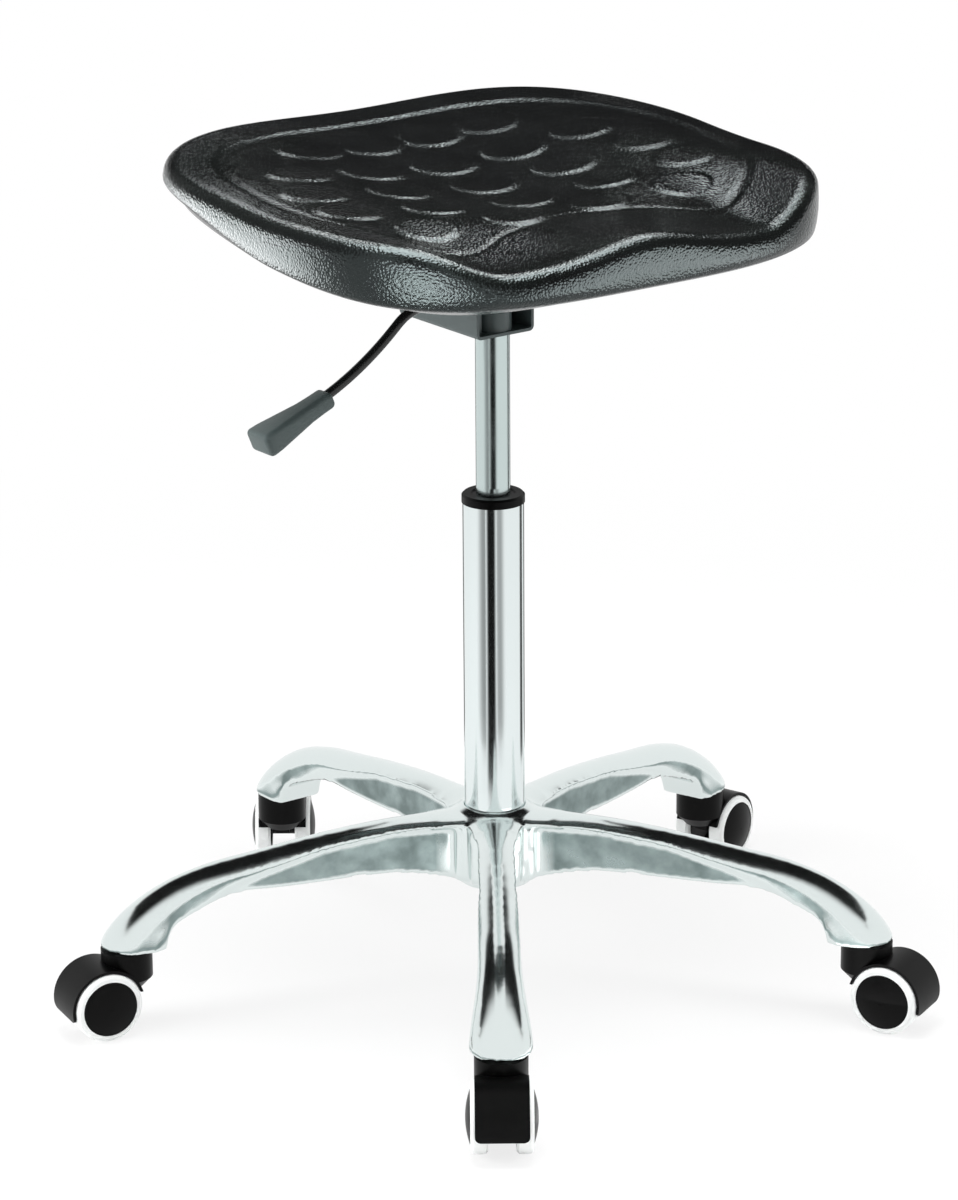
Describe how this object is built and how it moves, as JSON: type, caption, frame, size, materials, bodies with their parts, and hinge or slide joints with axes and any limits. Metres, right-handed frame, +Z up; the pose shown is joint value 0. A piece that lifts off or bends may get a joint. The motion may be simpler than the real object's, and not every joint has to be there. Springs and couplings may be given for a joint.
{
  "type": "work stool",
  "caption": "Backless laboratory work stool: contoured black foam seat on a chromed gas lift, swivelling on a polished star base with twin-wheel castors; a side lever sets the height.",
  "frame": {"origin": "where the lift axis meets the floor", "axes": "+Z up along the lift axis, -Y towards the seat's front, -X towards the sitter's right and the height lever"},
  "size_m": [0.7224, 0.6915, 0.7084],
  "materials": {
    "polished_aluminium": "polished",
    "chromed_steel": "polished",
    "bright_steel": "satin",
    "black_painted_steel": "satin",
    "black_nylon": "satin",
    "grey_grip_plastic": "matte",
    "black_rubber": "matte",
    "pale_grey_tyre": "satin",
    "black_skin_foam": "matte",
    "plywood": "matte"
  },
  "bodies": {
    "base": {"star_base": "polished_aluminium", "outer_tube": "chromed_steel", "guide_bush": "black_nylon", "bearing_lower_race": "bright_steel", "bearing_balls": "bright_steel"},
    "lift_piston": {"piston_rod": "bright_steel", "piston_head": "bright_steel", "bearing_upper_race": "bright_steel", "bumper_ring": "black_rubber", "retaining_clip": "bright_steel"},
    "seat": {"gas_cylinder": "chromed_steel", "rod_seal": "black_rubber", "taper_socket": "black_painted_steel", "seat_bracket": "black_painted_steel", "lever_pivot_pin": "bright_steel", "seat_foam": "black_skin_foam", "seat_board": "plywood", "captive_nuts": "bright_steel", "seat_screws": "bright_steel"},
    "lever": {"lever_rod": "black_painted_steel", "lever_handle": "grey_grip_plastic"},
    "valve": {"valve_button": "bright_steel"},
    "caster_front_right": {"hood_front_right": "black_nylon", "stem_front_right": "bright_steel", "axle_front_right": "bright_steel"},
    "wheel_front_right_a": {"tyre_front_right_a": "pale_grey_tyre", "wheel_front_right_a": "black_nylon"},
    "wheel_front_right_b": {"tyre_front_right_b": "pale_grey_tyre", "wheel_front_right_b": "black_nylon"},
    "caster_front_left": {"hood_front_left": "black_nylon", "stem_front_left": "bright_steel", "axle_front_left": "bright_steel"},
    "wheel_front_left_a": {"tyre_front_left_a": "pale_grey_tyre", "wheel_front_left_a": "black_nylon"},
    "wheel_front_left_b": {"tyre_front_left_b": "pale_grey_tyre", "wheel_front_left_b": "black_nylon"},
    "caster_side_left": {"hood_side_left": "black_nylon", "stem_side_left": "bright_steel", "axle_side_left": "bright_steel"},
    "wheel_side_left_a": {"tyre_side_left_a": "pale_grey_tyre", "wheel_side_left_a": "black_nylon"},
    "wheel_side_left_b": {"tyre_side_left_b": "pale_grey_tyre", "wheel_side_left_b": "black_nylon"},
    "caster_rear": {"hood_rear": "black_nylon", "stem_rear": "bright_steel", "axle_rear": "bright_steel"},
    "wheel_rear_a": {"tyre_rear_a": "pale_grey_tyre", "wheel_rear_a": "black_nylon"},
    "wheel_rear_b": {"tyre_rear_b": "pale_grey_tyre", "wheel_rear_b": "black_nylon"},
    "caster_side_right": {"hood_side_right": "black_nylon", "stem_side_right": "bright_steel", "axle_side_right": "bright_steel"},
    "wheel_side_right_a": {"tyre_side_right_a": "pale_grey_tyre", "wheel_side_right_a": "black_nylon"},
    "wheel_side_right_b": {"tyre_side_right_b": "pale_grey_tyre", "wheel_side_right_b": "black_nylon"}
  },
  "joints": [
    {"name": "seat_swivel", "type": "hinge", "parent": "base", "child": "lift_piston", "pos_m": [0, 0, 0.097], "axis": [0, 0, 1], "continuous": true},
    {"name": "seat_height", "type": "slide", "parent": "lift_piston", "child": "seat", "axis": [0, 0, 1], "range_m": [-0.13, 0]},
    {"name": "lever_lift", "type": "hinge", "parent": "seat", "child": "lever", "pos_m": [-0.022, 0, 0.589], "axis": [0, 1, 0], "range_deg": [0, 5], "stiffness_Nm_per_rad": 4, "springref_deg": -2.86},
    {"name": "valve_press", "type": "slide", "parent": "seat", "child": "valve", "axis": [0, 0, -1], "range_m": [0, 0.002]},
    {"name": "swivel_front_right", "type": "hinge", "parent": "base", "child": "caster_front_right", "pos_m": [-0.18633, -0.25646, 0.07], "axis": [0, 0, 1], "continuous": true},
    {"name": "roll_front_right_a", "type": "hinge", "parent": "caster_front_right", "child": "wheel_front_right_a", "pos_m": [-0.20102, -0.27668, 0.0285], "axis": [0.809, -0.5878, 0], "continuous": true},
    {"name": "roll_front_right_b", "type": "hinge", "parent": "caster_front_right", "child": "wheel_front_right_b", "pos_m": [-0.20102, -0.27668, 0.0285], "axis": [0.809, -0.5878, 0], "continuous": true},
    {"name": "swivel_front_left", "type": "hinge", "parent": "base", "child": "caster_front_left", "pos_m": [0.18633, -0.25646, 0.07], "axis": [0, 0, 1], "continuous": true},
    {"name": "roll_front_left_a", "type": "hinge", "parent": "caster_front_left", "child": "wheel_front_left_a", "pos_m": [0.19662, -0.27924, 0.0285], "axis": [0.9114, 0.4115, 0], "continuous": true},
    {"name": "roll_front_left_b", "type": "hinge", "parent": "caster_front_left", "child": "wheel_front_left_b", "pos_m": [0.19662, -0.27924, 0.0285], "axis": [0.9114, 0.4115, 0], "continuous": true},
    {"name": "swivel_side_left", "type": "hinge", "parent": "base", "child": "caster_side_left", "pos_m": [0.30149, 0.09796, 0.07], "axis": [0, 0, 1], "continuous": true},
    {"name": "roll_side_left_a", "type": "hinge", "parent": "caster_side_left", "child": "wheel_side_left_a", "pos_m": [0.32526, 0.10568, 0.0285], "axis": [-0.309, 0.9511, 0], "continuous": true},
    {"name": "roll_side_left_b", "type": "hinge", "parent": "caster_side_left", "child": "wheel_side_left_b", "pos_m": [0.32526, 0.10568, 0.0285], "axis": [-0.309, 0.9511, 0], "continuous": true},
    {"name": "swivel_rear", "type": "hinge", "parent": "base", "child": "caster_rear", "pos_m": [0, 0.317, 0.07], "axis": [0, 0, 1], "continuous": true},
    {"name": "roll_rear_a", "type": "hinge", "parent": "caster_rear", "child": "wheel_rear_a", "pos_m": [0.01494, 0.33704, 0.0285], "axis": [-0.8018, 0.5976, 0], "continuous": true},
    {"name": "roll_rear_b", "type": "hinge", "parent": "caster_rear", "child": "wheel_rear_b", "pos_m": [0.01494, 0.33704, 0.0285], "axis": [-0.8018, 0.5976, 0], "continuous": true},
    {"name": "swivel_side_right", "type": "hinge", "parent": "base", "child": "caster_side_right", "pos_m": [-0.30149, 0.09796, 0.07], "axis": [0, 0, 1], "continuous": true},
    {"name": "roll_side_right_a", "type": "hinge", "parent": "caster_side_right", "child": "wheel_side_right_a", "pos_m": [-0.32613, 0.10217, 0.0285], "axis": [-0.1685, -0.9857, 0], "continuous": true},
    {"name": "roll_side_right_b", "type": "hinge", "parent": "caster_side_right", "child": "wheel_side_right_b", "pos_m": [-0.32613, 0.10217, 0.0285], "axis": [-0.1685, -0.9857, 0], "continuous": true}
  ],
  "couplings": [
    {"joint": "valve_press", "follows": "lever_lift", "m_per_rad": 0.022}
  ]
}
